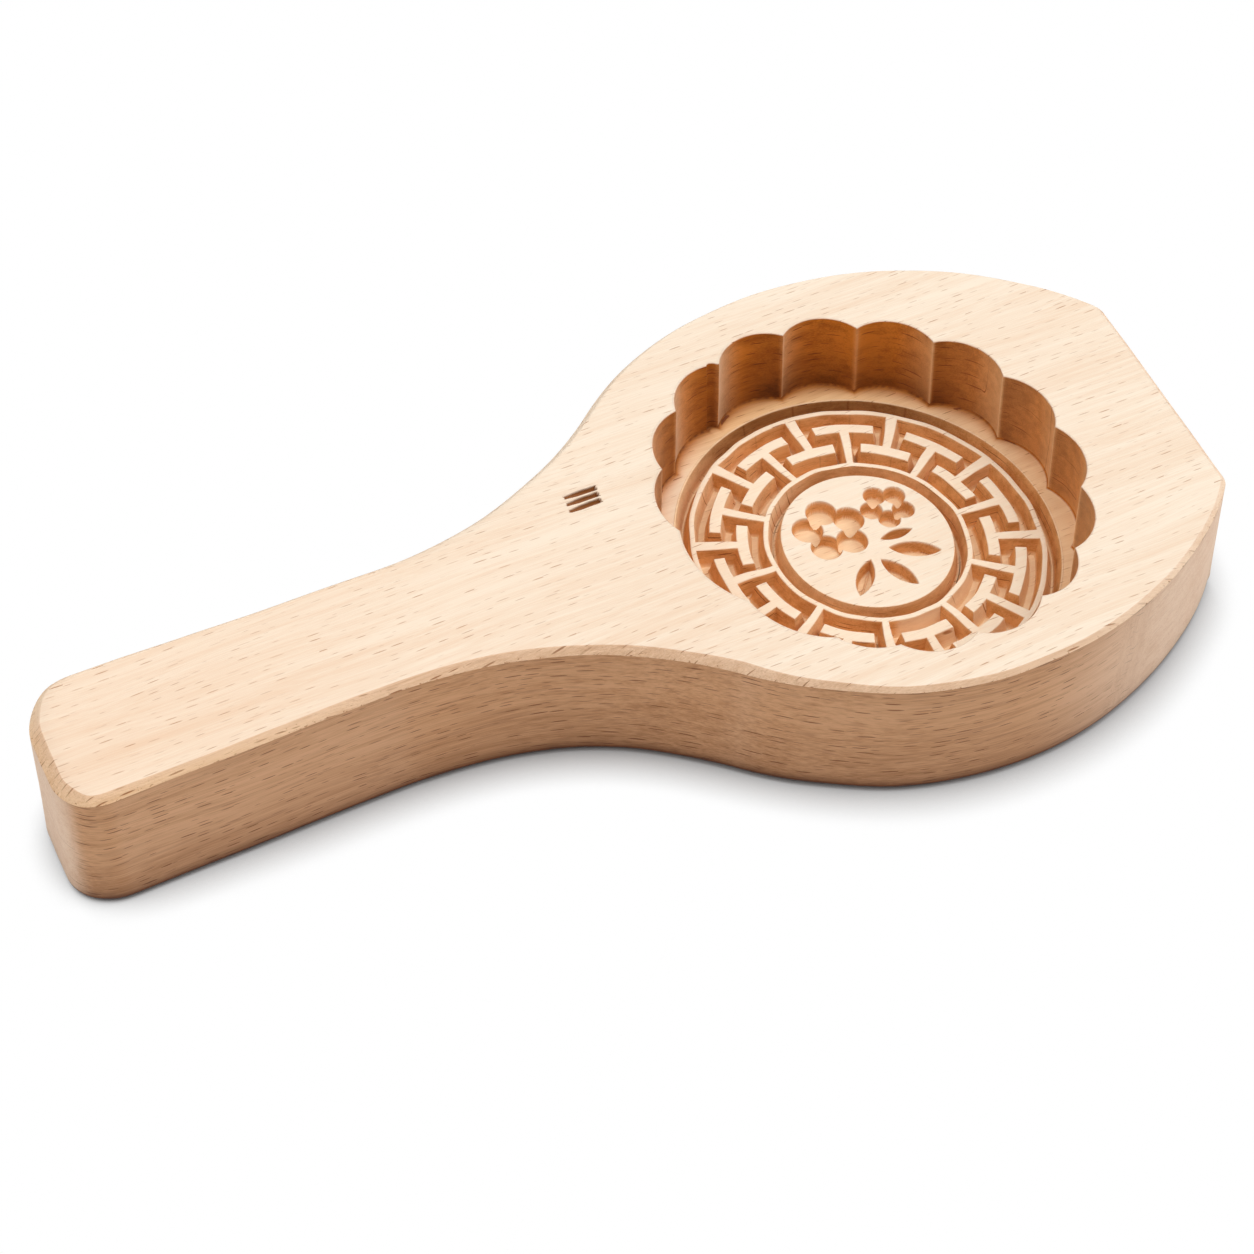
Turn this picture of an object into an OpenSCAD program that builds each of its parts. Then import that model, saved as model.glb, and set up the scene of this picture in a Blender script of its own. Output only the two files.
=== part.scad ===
// Wooden mooncake mold: a paddle-shaped beech board with a scalloped well, whose floor carries
// a T-fret ring and a blossom medallion. Millimetres. The origin lies under the well's centre,
// on the face the board rests on; +X runs to the flat end of the head, the handle points to -X.

/* [Well] */
// Radius of the circle through the inward points between the lobes
cusp_r = 40.8; // [34:0.2:48]
// How far each lobe bulges past that circle
lobe_depth = 2.9; // [2:0.1:4]
// Number of lobes around the well
lobe_count = 16; // [12:1:20]
// Depth of the well from the top face to its ledge
well_depth = 17.5; // [10:0.5:26]
// Width of the ledge in front of the inward points
ledge_w = 2.2; // [1.2:0.1:4]

/* [Board] */
// Wood left under the fret ring and the medallion
floor_t = 5.5; // [3:0.5:12]
// Wood between the lobes and the sides of the head
side_wall = 11.3; // [8:0.1:20]
// Wood between the lobes and the flat end of the head
end_wall = 20.3; // [10:0.1:30]
// Radius of the two curved sides of the head
head_side_r = 73; // [68:1:90]
// Where the widest part of the head lies, past the well's centre
head_x = 5.8; // [0:0.1:12]
// How far the head's centre line lies from the well's centre
head_y = 2; // [0:0.1:4]
// Rounding of the corners at the flat end
head_corner_r = 4.5; // [2:0.5:8]

/* [Handle] */
// Length of the handle from its root to its end
handle_len = 117.5; // [90:0.5:160]
// Wood between the lobes and the root of the handle
root_wall = 3.4; // [1:0.1:10]
// Width of the handle where its side lines reach the root
handle_root_w = 27.2; // [22:0.2:34]
// Width of the handle at its end
handle_end_w = 31; // [24:0.2:38]
// Lean of the handle from the head's centre line, in degrees
handle_lean = 5.6; // [0:0.1:8]
// Rounding of the corners at the handle's end
handle_corner_r = 10; // [4:0.5:11]
// Radius of the hollow curves between handle and head
neck_r = 80; // [60:1:95]

/* [Fret ring] */
// Thickness of the plate that the frets stand on
plate_t = 3; // [2:0.25:6]
// Height of the frets and rims above that plate
fret_h = 4; // [2:0.25:6]
// Width of the round groove between ledge and rim
groove_w = 3.2; // [1.5:0.1:4]
// Width of the outer rim and of the inner rim
rim_w = 1; // [0.6:0.1:1.6]
// Radial width of the bars of the T shapes
bar_w = 2.3; // [1.4:0.1:2.8]
// Radial gap beside each bar
bar_gap = 3; // [2:0.1:3.4]
// Angle that a bar spans, in degrees
bar_angle = 23.4; // [16:0.2:25]
// Angle that a stem spans, in degrees
stem_angle = 3.8; // [2:0.2:5]
// Number of T shapes on each rim
fret_count = 10; // [8:1:11]
// Clearance of each fitted piece in its seat, on the radius
seat_clear = 0.1; // [0.05:0.05:0.3]

/* [Medallion] */
// Width of the round groove around the medallion's face
moat_w = 2.5; // [1:0.1:4]
// Depth of the carved blossoms and leaves
carve_d = 3; // [1:0.25:3.5]
// Plain border between the carving and the medallion's edge
carve_border = 1.4; // [0.8:0.1:3]

/* [Sprig mark] */
// Distance of the carved sprig from the well's lobes, toward the handle
sprig_gap = 10.3; // [6:0.1:14]
// Distance of the sprig from the well's centre line
sprig_y = 14; // [8:0.5:18]
// Length of each leaf of the sprig
sprig_len = 5.6; // [3:0.2:8]
// Depth of the sprig's cuts
sprig_d = 1.4; // [0.6:0.1:3]

/* [Hidden] */
$fn = 128;
over = 1;
beech = [0.93, 0.82, 0.67];
beech_mid = [0.90, 0.76, 0.58];
beech_warm = [0.92, 0.79, 0.62];

// Levels, measured up from the face the board rests on
seat_z = floor_t;
plate_z = seat_z + plate_t;
ledge_z = plate_z + fret_h;
board_t = ledge_z + well_depth;

// Well: each lobe is an arc through two neighbouring inward points
apex_r = cusp_r + lobe_depth;
half_step = 180 / lobe_count;
lobe_half_chord = cusp_r * sin(half_step);
lobe_sag = apex_r - cusp_r * cos(half_step);
lobe_r = (lobe_half_chord * lobe_half_chord + lobe_sag * lobe_sag) / (2 * lobe_sag);
lobe_at = apex_r - lobe_r;
core_r = cusp_r - ledge_w / 2;

// Radii of the floor's rings, from the ledge inward
pocket_r = cusp_r - ledge_w;
rim_out_r = pocket_r - groove_w;
rim_in_r = rim_out_r - rim_w;
outer_t_r = [rim_in_r - 3 * bar_gap - 2 * bar_w + bar_gap, rim_in_r - 2 * bar_gap - bar_w];
inner_t_r = [outer_t_r[1] + bar_gap, outer_t_r[1] + bar_gap + bar_w];
ring_out_r = outer_t_r[0] - bar_gap;
ring_in_r = ring_out_r - rim_w;
medal_r = ring_in_r - seat_clear;
face_r = ring_in_r - moat_w;
carve_r = face_r - carve_border;
fret_step = 360 / fret_count;
// A stem runs this far into the rim or bar it joins, so that they share wood
joint_bite = rim_w / 2;

// Head: two side arcs whose centres lie across the centre line, cut square at the end
head_half = apex_r + side_wall;
head_end = apex_r + end_wall;
side_back = head_side_r - head_half;

// Handle: its own axis through the root, and the unit steps along and across that axis
root = [-(apex_r + root_wall), head_y];
along = [cos(handle_lean), sin(handle_lean)];
across = [-sin(handle_lean), cos(handle_lean)];
half_root = handle_root_w / 2;
half_end = handle_end_w / 2;
taper = atan((half_root - half_end) / handle_len);

// Per side (s = 1 or -1): the handle's side line, its way to the head and its outward normal
function line_at(s) = root + s * half_root * across;
function line_way(s) = cos(taper) * along + s * sin(taper) * across;
function line_out(s) = s * cos(taper) * across - sin(taper) * along;
function side_centre(s) = [head_x, head_y - s * side_back];

// Neck curve: touches the side line from outside and the head's side arc from outside
function neck_base(s) = line_at(s) + neck_r * line_out(s) - side_centre(s);
function neck_lead(s) = neck_base(s) * line_way(s);
function neck_room(s) = neck_base(s) * neck_base(s) - pow(head_side_r + neck_r, 2);
function neck_run(s) = -neck_lead(s) - sqrt(pow(neck_lead(s), 2) - neck_room(s));
function neck_centre(s) = line_at(s) + neck_r * line_out(s) + neck_run(s) * line_way(s);
function neck_reach(s) = neck_centre(s) - side_centre(s);
function neck_way(s) = neck_reach(s) / norm(neck_reach(s));

// Flat-end corner: centre of the rounding that touches the side arc and the end line
function corner_x() = head_end - head_corner_r;
function corner_rise() = sqrt(pow(head_side_r - head_corner_r, 2) - pow(corner_x() - head_x, 2));
function corner_centre(s) = side_centre(s) + [corner_x() - head_x, s * corner_rise()];
function corner_way(s) = (corner_centre(s) - side_centre(s)) / norm(corner_centre(s) - side_centre(s));

// Handle-end corner: centre of the rounding that touches the side line and the end line
function end_run(s) = (handle_corner_r - handle_len + handle_corner_r * (line_out(s) * along))
    / (line_way(s) * along);
function end_centre(s) = line_at(s) - handle_corner_r * line_out(s) + end_run(s) * line_way(s);

// Points of the arc around a centre that starts at one direction and stops at another
function sweep(from, to) = atan2(cross(from, to), from * to);
function arc(centre, r, from, to, count) = [
    for (i = [0:count])
        let (at = atan2(from[1], from[0]) + sweep(from, to) * i / count)
            centre + r * [cos(at), sin(at)]
];
function after_first(points) = [for (i = [1:len(points) - 1]) points[i]];
function backward(points) = [for (i = [len(points) - 1:-1:0]) points[i]];

// One half of the outline, from the handle's end to the flat end of the head
function half_outline(s) = concat(
    arc(end_centre(s), handle_corner_r, -along, line_out(s), 12),
    arc(neck_centre(s), neck_r, -line_out(s), -neck_way(s), 16),
    after_first(arc(side_centre(s), head_side_r, neck_way(s), corner_way(s), 40)),
    after_first(arc(corner_centre(s), head_corner_r, corner_way(s), [1, 0], 8))
);

// Plane region of a ring sector around the given angle
module sector(r_in, r_out, at, span) {
    far = r_out / cos(span / 2) + over;
    intersection() {
        difference() {
            circle(r_out);
            circle(r_in);
        }
        polygon([[0, 0], far * [cos(at - span / 2), sin(at - span / 2)],
            far * [cos(at + span / 2), sin(at + span / 2)]]);
    }
}

// Plane ring between two radii
module ring(r_in, r_out) {
    difference() {
        circle(r_out);
        circle(r_in);
    }
}

// Pointed leaf shape between two arcs, from the origin along +X
module leaf(length, width) {
    arc_r = (length * length + width * width) / (4 * width);
    intersection() {
        translate([length / 2, arc_r - width / 2]) circle(arc_r);
        translate([length / 2, width / 2 - arc_r]) circle(arc_r);
    }
}

// Five-petalled blossom with a plain eye
module blossom(reach) {
    petal_r = reach * 0.40;
    difference() {
        for (k = [0:4])
            rotate(90 + 72 * k) translate([reach - petal_r, 0]) circle(petal_r);
        circle(reach * 0.19);
    }
}

// Paddle seen from above: side lines and arcs of one half, then those of the other half backward
module paddle_plan() {
    polygon(concat(half_outline(1), backward(half_outline(-1))));
}

// Scalloped mouth of the well
module well_plan() {
    circle(core_r);
    for (k = [0:lobe_count - 1])
        rotate((2 * k + 1) * half_step) translate([lobe_at, 0]) circle(lobe_r);
}

// Three gouged leaves beside the well
module sprig_plan() {
    translate([-(apex_r + sprig_gap), sprig_y])
        for (turn = [-32, 0, 32])
            rotate(180 + turn) translate([-sprig_len / 3, 0]) leaf(sprig_len, sprig_len / 4);
}

// Blossoms, leaves and twig of the medallion, sized by the room inside its border
module carving_plan() {
    translate(carve_r * [-0.36, 0.30]) blossom(carve_r * 0.50);
    translate(carve_r * [0.48, 0.44]) rotate(20) blossom(carve_r * 0.36);
    translate(carve_r * [-0.10, -0.30]) rotate(-128) leaf(carve_r * 0.62, carve_r * 0.22);
    translate(carve_r * [0.02, -0.34]) rotate(-62) leaf(carve_r * 0.58, carve_r * 0.22);
    translate(carve_r * [0.20, -0.20]) rotate(-22) leaf(carve_r * 0.66, carve_r * 0.24);
    translate(carve_r * [0.16, -0.04]) rotate(4) leaf(carve_r * 0.46, carve_r * 0.14);
}

// Paddle-shaped board with the scalloped well and the round seat under it
module mold_board() {
    color(beech)
    difference() {
        linear_extrude(board_t) paddle_plan();
        translate([0, 0, ledge_z]) linear_extrude(well_depth + over) well_plan();
        translate([0, 0, seat_z]) cylinder(h = plate_t + fret_h + over, r = pocket_r);
        translate([0, 0, board_t - sprig_d]) linear_extrude(sprig_d + over) sprig_plan();
    }
}

// Ring with a plate, two rims and the interlocked T shapes
module fret_ring() {
    color(beech_mid) {
        translate([0, 0, seat_z]) linear_extrude(plate_t) ring(ring_in_r, pocket_r - seat_clear);
        translate([0, 0, plate_z]) linear_extrude(fret_h) {
            ring(rim_in_r, rim_out_r);
            ring(ring_in_r, ring_out_r);
            for (k = [0:fret_count - 1]) {
                sector(ring_out_r - joint_bite, inner_t_r[1] - joint_bite, k * fret_step, stem_angle);
                sector(inner_t_r[0], inner_t_r[1], k * fret_step, bar_angle);
                sector(outer_t_r[0] + joint_bite, rim_in_r + joint_bite, (k + 0.5) * fret_step, stem_angle);
                sector(outer_t_r[0], outer_t_r[1], (k + 0.5) * fret_step, bar_angle);
            }
        }
    }
}

// Round medallion with a foot that fills the fret ring's middle and a carved face
module medallion() {
    color(beech_warm)
    difference() {
        union() {
            translate([0, 0, seat_z]) cylinder(h = plate_t, r = medal_r);
            translate([0, 0, seat_z]) cylinder(h = plate_t + fret_h, r = face_r);
        }
        translate([0, 0, ledge_z - carve_d]) linear_extrude(carve_d + over) carving_plan();
    }
}

mold_board();
fret_ring();
medallion();
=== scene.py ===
"""Dresses a wooden mooncake mold in beech: board, fret ring and medallion, on a pale floor."""
import logging
import math
from dataclasses import dataclass, field, replace
from enum import Enum
from typing import Any, Union

import bpy
import numpy as np
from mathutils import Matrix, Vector


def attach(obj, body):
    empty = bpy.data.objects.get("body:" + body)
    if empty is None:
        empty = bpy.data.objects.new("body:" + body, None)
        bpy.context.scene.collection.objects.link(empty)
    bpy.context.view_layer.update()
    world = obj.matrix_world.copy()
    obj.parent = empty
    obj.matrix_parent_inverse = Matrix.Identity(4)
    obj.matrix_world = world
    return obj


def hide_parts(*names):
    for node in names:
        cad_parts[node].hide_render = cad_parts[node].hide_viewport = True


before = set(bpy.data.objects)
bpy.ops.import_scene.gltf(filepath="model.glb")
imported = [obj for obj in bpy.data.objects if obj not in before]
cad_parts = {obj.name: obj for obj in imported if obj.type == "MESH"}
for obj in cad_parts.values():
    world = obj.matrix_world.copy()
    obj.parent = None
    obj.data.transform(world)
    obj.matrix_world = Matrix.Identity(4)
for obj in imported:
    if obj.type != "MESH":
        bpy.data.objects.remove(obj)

Array = np.ndarray
Pair = tuple[float, float]
Triple = tuple[float, float, float]
Colour = Triple
Measure = Union[float, Array]

LOG = logging.getLogger("mold")
MM = 0.001
FULL = 2 * math.pi
LEAN = math.radians(5.6)
GRAIN_WAY = np.array([math.cos(LEAN), math.sin(LEAN)])
GRAIN = "grain"
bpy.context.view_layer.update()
WHITE: Colour = (1.0, 1.0, 1.0)
PHOTO_RIGHT = np.array([0.935, -0.354])


def unit(v: Array) -> Array:
    """The vector, or each row of vectors, at length one."""
    return v / np.linalg.norm(v, axis=-1, keepdims=True)


def run_lengths(points: Array) -> Array:
    """Distance along a line of points, from 0 at the first."""
    return np.concatenate([[0.0], np.cumsum(np.linalg.norm(np.diff(points, axis=0), axis=1))])


def smooth(x: Measure, low: float, high: Measure) -> Array:
    """Rises from 0 at low to 1 at high along 3t^2 - 2t^3."""
    t = np.clip((x - low) / (high - low), 0.0, 1.0)
    return t * t * (3.0 - 2.0 * t)


def from_way(angle: Array, way: Measure) -> Array:
    """How far an angle lies from a direction, in radians between minus and plus half a turn."""
    return (angle - way + math.pi) % FULL - math.pi


def ripple(x: Array, y: Measure, wavelength: float, seed: int, waves: int = 8) -> Array:
    """Smooth unevenness between about -1 and 1: the mean of plane waves in seeded directions.

    Args:
        x, y: Places in millimetres.
        wavelength: Middle length of the waves.
        seed: Chooses directions, lengths and phases.
        waves: Number of waves.

    Returns:
        One value per place.
    """
    draw = np.random.default_rng(seed)
    turn = draw.uniform(0.0, FULL, waves)
    rate = FULL / (wavelength * draw.uniform(0.7, 1.4, waves))
    phase = draw.uniform(0.0, FULL, waves)
    way = np.multiply.outer(x, np.cos(turn) * rate) + np.multiply.outer(y, np.sin(turn) * rate)
    return np.cos(way + phase).mean(-1) * 1.7


def linked(name: str, data: bpy.types.ID) -> bpy.types.Object:
    """Puts the data into the scene as a new object.

    Args:
        name: Name of the object.
        data: Mesh, lamp or camera.

    Returns:
        The object, at the origin.
    """
    made = bpy.data.objects.new(name, data)
    bpy.context.scene.collection.objects.link(made)
    return made


class Closing(Enum):
    """How the first and last row of a skin meet."""

    POLES = "each of the two shrinks to a point"
    LOOP = "the last row joins the first"


class Zone(Enum):
    """Kinds of worked surface that the finish tells apart, each a mark per point. The cut and deep
    marks also carry painted shade and painted light.
    """

    # cut wood's deeper colour, partly painted shade; lowered on walls that face the lamps as painted
    # light
    CARVE = "carve"
    # deep: painted shade in corners, grooves, wall feet and toward the board's foot; also the drying
    # checks and the line under the edge
    DEEP = "deep"
    FLOOR = "floor"
    EDGE = "edge"
    SIDE = "side"
    END = "end"
    MARK = "mark"


@dataclass
class Skin:
    """A closed surface: rows of points around an axis, each row closed on itself.

    Attributes:
        rows: Points in millimetres, one array of (columns, 3) per row.
        marks: Per zone, one array of (columns,) per row.
        grain: Places in the wood along the grain, across it and up, in millimetres, row by row.
        closing: How the first and last row meet.
    """

    closing: Closing
    rows: list[Array] = field(default_factory=list)
    grain: list[Array] = field(default_factory=list)
    marks: dict[Zone, list[Array]] = field(default_factory=lambda: {z: [] for z in Zone})

    def add(self, xy: Array, z: Measure, slack: Measure = 1.0, **marks: Measure) -> None:
        """Adds a row.

        Args:
            xy: Points of (columns, 2).
            z: Height of the row, or of each of its points.
            slack: Share of the true distance across the grain that the wood's pattern sees.
            marks: Zone values by the zone's name, 0 where left out.
        """
        count = len(xy)
        self.rows.append(np.column_stack([xy, np.broadcast_to(z, count)]))
        along, across = xy @ GRAIN_WAY, xy @ np.array([-GRAIN_WAY[1], GRAIN_WAY[0]])
        self.grain.append(np.column_stack([along, across * slack, np.broadcast_to(z, count)]))
        for zone in Zone:
            value = marks.get(zone.value, 0.0)
            self.marks[zone].append(np.broadcast_to(value, count).astype(float))

    def _quads(self, rows: int, columns: int) -> Array:
        """Faces between neighbouring rows and columns.

        Args:
            rows, columns: Size of the grid of points.

        Returns:
            Corner numbers, four per face.
        """
        last = rows if self.closing is Closing.LOOP else rows - 1
        r = np.arange(last)[:, None]
        c = np.arange(columns)[None, :]
        r_next, c_next = (r + 1) % rows, (c + 1) % columns
        corners = [r * columns + c, r * columns + c_next,
                   r_next * columns + c_next, r_next * columns + c]
        return np.stack(np.broadcast_arrays(*corners), -1).reshape(-1, 4)

    def build(self, name: str, crease: float) -> bpy.types.Object:
        """Makes the object, with faces outward and edges sharper than the crease angle kept sharp.

        Args:
            name: Name of the object.
            crease: Angle in degrees.

        Returns:
            The linked object, at the origin.
        """
        grid = np.stack(self.rows)
        poles = self.closing is Closing.POLES
        body = grid[1:-1] if poles else grid
        rows, columns = body.shape[:2]
        points = body.reshape(-1, 3)
        quads = self._quads(rows, columns)
        fans = np.empty((0, 3), int)
        if poles:
            c = np.arange(columns)
            c_next = (c + 1) % columns
            first, last = rows * columns, rows * columns + 1
            top = np.column_stack([np.full(columns, first), c_next, c])
            base = (rows - 1) * columns
            foot = np.column_stack([np.full(columns, last), base + c, base + c_next])
            fans = np.concatenate([top, foot])
            points = np.concatenate([points, grid[0].mean(0)[None], grid[-1].mean(0)[None]])
        if self._volume(points, quads, fans) < 0.0:
            quads, fans = quads[:, ::-1], fans[:, ::-1]
        mesh = bpy.data.meshes.new(name)
        mesh.from_pydata((points * MM).tolist(), [], quads.tolist() + fans.tolist())
        for zone, values in self.marks.items():
            layer = mesh.attributes.new(zone.value, "FLOAT", "POINT")
            layer.data.foreach_set("value", self._flat(values, poles).astype(np.float32))
        layer = mesh.attributes.new(GRAIN, "FLOAT_VECTOR", "POINT")
        layer.data.foreach_set("vector", self._flat(self.grain, poles).astype(np.float32).ravel())
        mesh.shade_smooth()
        mesh.set_sharp_from_angle(angle=math.radians(crease))
        return linked(name, mesh)

    @staticmethod
    def _flat(rows: list[Array], poles: bool) -> Array:
        """Row values in the order of the mesh's points, poles last.

        Args:
            rows: One array per row.
            poles: Whether the first and the last row are single points.

        Returns:
            One value per point.
        """
        grid = np.stack(rows)
        if not poles:
            return grid.reshape(-1, *grid.shape[2:])
        return np.concatenate([grid[1:-1].reshape(-1, *grid.shape[2:]), grid[0][:1], grid[-1][:1]])

    @staticmethod
    def _volume(points: Array, quads: Array, fans: Array) -> float:
        """The sum of the tetrahedra from the origin over all triangles.

        Args:
            points: Places.
            quads, fans: Corner numbers of the faces with four and with three corners.

        Returns:
            The volume, negative where the faces look inward.
        """
        tris = np.concatenate([quads[:, [0, 1, 2]], quads[:, [0, 2, 3]], fans])
        a, b, c = (points[tris[:, k]] for k in range(3))
        return float(np.einsum("ij,ij->i", a, np.cross(b, c)).sum())


@dataclass(frozen=True)
class PaddleOutline:
    """The paddle seen from above, in millimetres around the well's centre.

    Two arcs side the head, a flat end with rounded corners closes it, hollow arcs lead into a
    handle that leans and flares a little.
    """

    head_half: float = 55.0
    side_r: float = 73.0
    head_x: float = 5.8
    head_y: float = 2.0
    head_end: float = 64.0
    corner_r: float = 4.5
    root_x: float = -47.1
    handle_len: float = 117.5
    root_half: float = 13.6
    end_half: float = 15.5
    far_corner_r: float = 11.8
    near_corner_r: float = 8.8
    neck_r: float = 80.0

    @staticmethod
    def arc(centre: Array, r: float, start: Array, stop: Array, count: int = 400) -> Array:
        """Points at distance r from the centre, turning from one direction to another.

        Args:
            centre: Centre of the arc's circle.
            r: Its radius.
            start, stop: Directions of the arc's ends.
            count: Number of points.

        Returns:
            The points, at even turns.
        """
        sweep = math.atan2(start[0] * stop[1] - start[1] * stop[0], float(start @ stop))
        at = math.atan2(start[1], start[0]) + sweep * np.linspace(0.0, 1.0, count)
        return centre + r * np.column_stack([np.cos(at), np.sin(at)])

    def half(self, s: float) -> Array:
        """One half of the outline, from the middle of the handle's end to that of the flat end.

        Args:
            s: 1 for the half toward +Y, -1 for the other.

        Returns:
            Points in order; straight stretches have points only at their ends.
        """
        along = GRAIN_WAY
        across = np.array([-along[1], along[0]])
        root = np.array([self.root_x, self.head_y])
        taper = math.atan((self.root_half - self.end_half) / self.handle_len)
        way = math.cos(taper) * along + s * math.sin(taper) * across
        out = s * math.cos(taper) * across - math.sin(taper) * along
        line = root + s * self.root_half * across
        side = np.array([self.head_x, self.head_y - s * (self.side_r - self.head_half)])
        base = line + self.neck_r * out - side
        lead = float(base @ way)
        room = float(base @ base) - (self.side_r + self.neck_r) ** 2
        neck = line + self.neck_r * out + (-lead - math.sqrt(lead * lead - room)) * way
        neck_way = unit(neck - side)
        step = self.head_end - self.corner_r - self.head_x
        rise = math.sqrt((self.side_r - self.corner_r) ** 2 - step * step)
        corner = side + np.array([step, s * rise])
        corner_way = unit(corner - side)
        end_r = self.far_corner_r if s > 0.0 else self.near_corner_r
        run = end_r - self.handle_len + end_r * float(out @ along)
        end = line - end_r * out + run / float(way @ along) * way
        return np.concatenate([
            (root - self.handle_len * along)[None],
            self.arc(end, end_r, -along, out),
            self.arc(neck, self.neck_r, -out, -neck_way),
            self.arc(side, self.side_r, neck_way, corner_way),
            self.arc(corner, self.corner_r, corner_way, np.array([1.0, 0.0])),
            np.array([[self.head_end, self.head_y]]),
        ])

    def loop(self, count: int = 9000) -> tuple[Array, Array]:
        """The whole outline, evenly spaced and counterclockwise.

        Args:
            count: Number of points.

        Returns:
            The points, and the direction of each from the well's centre in radians, rising.
        """
        corners = np.concatenate([self.half(-1.0), self.half(1.0)[::-1]])
        corners = corners[np.diff(run_lengths(corners), prepend=-1.0) > 1e-6]
        run = run_lengths(corners)
        at = np.linspace(0.0, run[-1], count)
        points = np.column_stack([np.interp(at, run, corners[:, k]) for k in (0, 1)])
        return points, np.unwrap(np.arctan2(points[:, 1], points[:, 0]))

    def sample(self, count: int, snaps: Array, busy: float) -> tuple[Array, Array, Array, Array]:
        """Points along the outline, with one exactly in each snapped direction.

        Of the points, 46 percent are spread evenly along the edge, as many evenly round the well's
        centre, and the rest crowd about a busy direction.

        Args:
            count: Number of points.
            snaps: Directions from the well's centre, in radians.
            busy: The busy direction, in radians.

        Returns:
            Directions from the centre, points, outward normals and run lengths.
        """
        points, turn = self.loop()
        crowded = turn[0] + (busy - turn[0]) % FULL
        round_share = (turn - turn[0]) / (turn[-1] - turn[0])
        share = 0.46 * np.linspace(0.0, 1.0, len(points)) + 0.46 * round_share
        share = share + 0.08 * np.clip((turn - crowded) / math.radians(9.0) + 0.5, 0.0, 1.0)
        angles = np.interp(np.linspace(0.0, 1.0, count, endpoint=False), share, turn)
        wanted = turn[0] + (snaps - turn[0]) % FULL
        angles[np.abs(angles[:, None] - wanted[None, :]).argmin(0)] = wanted
        tangent = np.gradient(points, axis=0)
        normal = unit(np.column_stack([tangent[:, 1], -tangent[:, 0]]))
        place, out = (np.column_stack([np.interp(angles, turn, way[:, k]) for k in (0, 1)])
                      for way in (points, normal))
        return angles, place, unit(out), np.interp(angles, turn, run_lengths(points))


@dataclass(frozen=True)
class HandCut:
    """How the hand-cut round of the well differs from a true circle: a slight stretch and shift."""

    xx: float = 0.967
    xy: float = -0.010
    yy: float = 1.033
    rim_squeeze: Pair = (0.988, 1.004)
    floor_shift: Pair = (0.5, -0.15)

    def stretched(self, xy: Array) -> Array:
        """Points of a true round, stretched and skewed as cut."""
        return xy @ np.array([[self.xx, self.xy], [self.xy, self.yy]])

    def rim(self, xy: Array) -> Array:
        """Points of the scalloped rim as cut."""
        return self.stretched(xy) * np.array(self.rim_squeeze)

    def floor(self, xy: Array) -> Array:
        """Points of the round floor as cut."""
        return self.stretched(xy) + np.array(self.floor_shift)


def round_points(r: Measure, angles: Array) -> Array:
    """Points at distance r in the given directions."""
    return np.column_stack([r * np.cos(angles), r * np.sin(angles)])


@dataclass(frozen=True)
class ScallopWell:
    """The well's mouth: lobes, each an arc through two neighbouring inward points.

    Attributes:
        slips: Inward points that sit off the even step: their numbers and degrees off.
        shallow: Lobes that are cut less deep, by the number of their first point, and their depths.
        flute_at, flute_half, flute_d: A narrow slip of the tool beside one inward point: direction,
            half width in degrees and depth.
    """

    cusp_r: float = 40.8
    lobe_depth: float = 3.15
    lobes: int = 16
    phase: float = math.radians(0.5)
    slips: tuple[tuple[int, float], ...] = (
        (3, -0.3), (4, -0.7), (5, -0.5), (9, 7.0), (10, 9.5), (11, 3.5), (12, 2.0), (13, 2.2))
    shallow: tuple[tuple[int, float], ...] = (
        (0, 2.7), (4, 3.0), (5, 2.75), (6, 2.4), (7, 2.2), (8, 1.6), (9, 1.4), (10, 1.1),
        (11, 2.2), (12, 2.3), (13, 2.4), (14, 2.5), (15, 2.5))
    flute_at: float = 114.35
    flute_half: float = 1.25
    flute_d: float = 0.6

    def cusps(self) -> Array:
        """Even steps round the well, each moved by its slip.

        Returns:
            Directions of the inward points, in radians.
        """
        step = FULL / self.lobes
        off = np.zeros(self.lobes)
        for number, degrees in self.slips:
            off[number] = math.radians(degrees)
        return self.phase + step * np.arange(self.lobes) + off

    def radius(self, angles: Array) -> tuple[Array, Array, Array, Array]:
        """Distance of the rim from the centre in each direction.

        A lobe's circle of radius q lies at distance a along the lobe's middle, so at an angle d
        from that middle the rim is at a cos d + sqrt(q^2 - (a sin d)^2).

        Args:
            angles: Directions in radians.

        Returns:
            The distances, how far along the rim the nearest inward point is, the place across the
            lobe from -1 to 1, and the way out of the lobe's circle as a flat vector.
        """
        cusps = self.cusps()
        depth = np.full(self.lobes, self.lobe_depth)
        for number, value in self.shallow:
            depth[number] = value
        half = 0.5 * np.diff(np.append(cusps, cusps[0] + FULL))
        apex = self.cusp_r + depth
        sag = apex - self.cusp_r * np.cos(half)
        q = ((self.cusp_r * np.sin(half)) ** 2 + sag * sag) / (2.0 * sag)
        a = apex - q
        turn = (angles - cusps[0] + 1e-9) % FULL + cusps[0]
        lobe = np.searchsorted(cusps, turn, side="right") - 1
        d = turn - cusps[lobe] - half[lobe]
        r = a[lobe] * np.cos(d) + np.sqrt(q[lobe] ** 2 - (a[lobe] * np.sin(d)) ** 2)
        way = (round_points(r, angles) - round_points(a[lobe], angles - d)) / q[lobe][:, None]
        off = np.degrees(from_way(angles, math.radians(self.flute_at)))
        r = r + self.flute_d * np.sqrt(np.clip(1.0 - (off / self.flute_half) ** 2, 0.0, 1.0))
        return r, (half[lobe] - np.abs(d)) * self.cusp_r, d / half[lobe], way


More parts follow.
